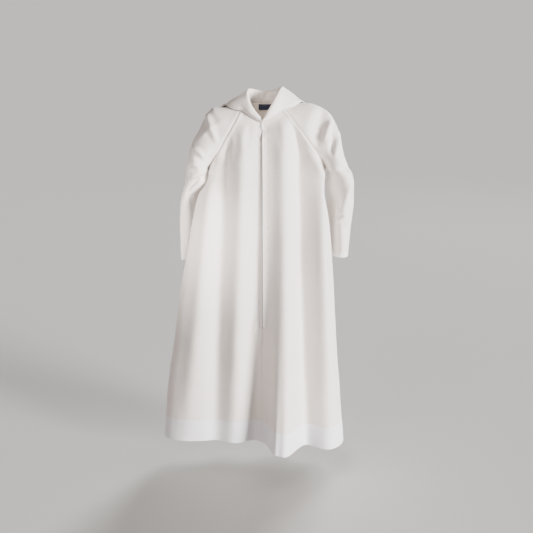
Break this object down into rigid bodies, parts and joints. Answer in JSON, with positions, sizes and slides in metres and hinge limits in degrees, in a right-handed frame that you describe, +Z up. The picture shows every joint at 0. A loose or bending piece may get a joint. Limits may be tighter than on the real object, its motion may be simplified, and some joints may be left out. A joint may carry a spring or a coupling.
{
  "type": "hooded alb robe",
  "caption": "Child's long hooded alb in white cloth with raglan sleeves, a laid-back hood and a front zip, standing hollow as if worn.",
  "frame": {"origin": "centre of the neck opening at shoulder height, where a hanger or a display neck holds the robe", "axes": "+Z up, -Y to the front with the zip, +X to the wearer's left"},
  "size_m": [0.5927, 0.3119, 1.1121],
  "materials": {
    "cotton_cloth": "plain-woven cotton-rich cloth, pressed, matt",
    "zip_tape": "woven polyester tape, matt",
    "zip_teeth": "moulded nylon coil, satin",
    "zip_enamel": "white enamel on die-cast zinc, gloss",
    "label_satin": "woven navy satin, low sheen"
  },
  "bodies": {
    "robe": {"front_left": "cotton_cloth", "front_right": "cotton_cloth", "back": "cotton_cloth", "sleeve_left": "cotton_cloth", "sleeve_right": "cotton_cloth", "hood_left": "cotton_cloth", "hood_right": "cotton_cloth", "zip_tape_left": "zip_tape", "zip_tape_right": "zip_tape", "zip_chain": "zip_teeth", "zip_stop": "zip_enamel", "zip_slider": "zip_enamel", "neck_label": "label_satin"},
    "pull_tab": {"zip_pull": "zip_enamel"}
  },
  "joints": [
    {"name": "pull_tab_hinge", "type": "hinge", "parent": "robe", "child": "pull_tab", "pos_m": [0, -0.05312, -0.05431], "axis": [-1, 0, 0], "range_deg": [0, 130]}
  ]
}
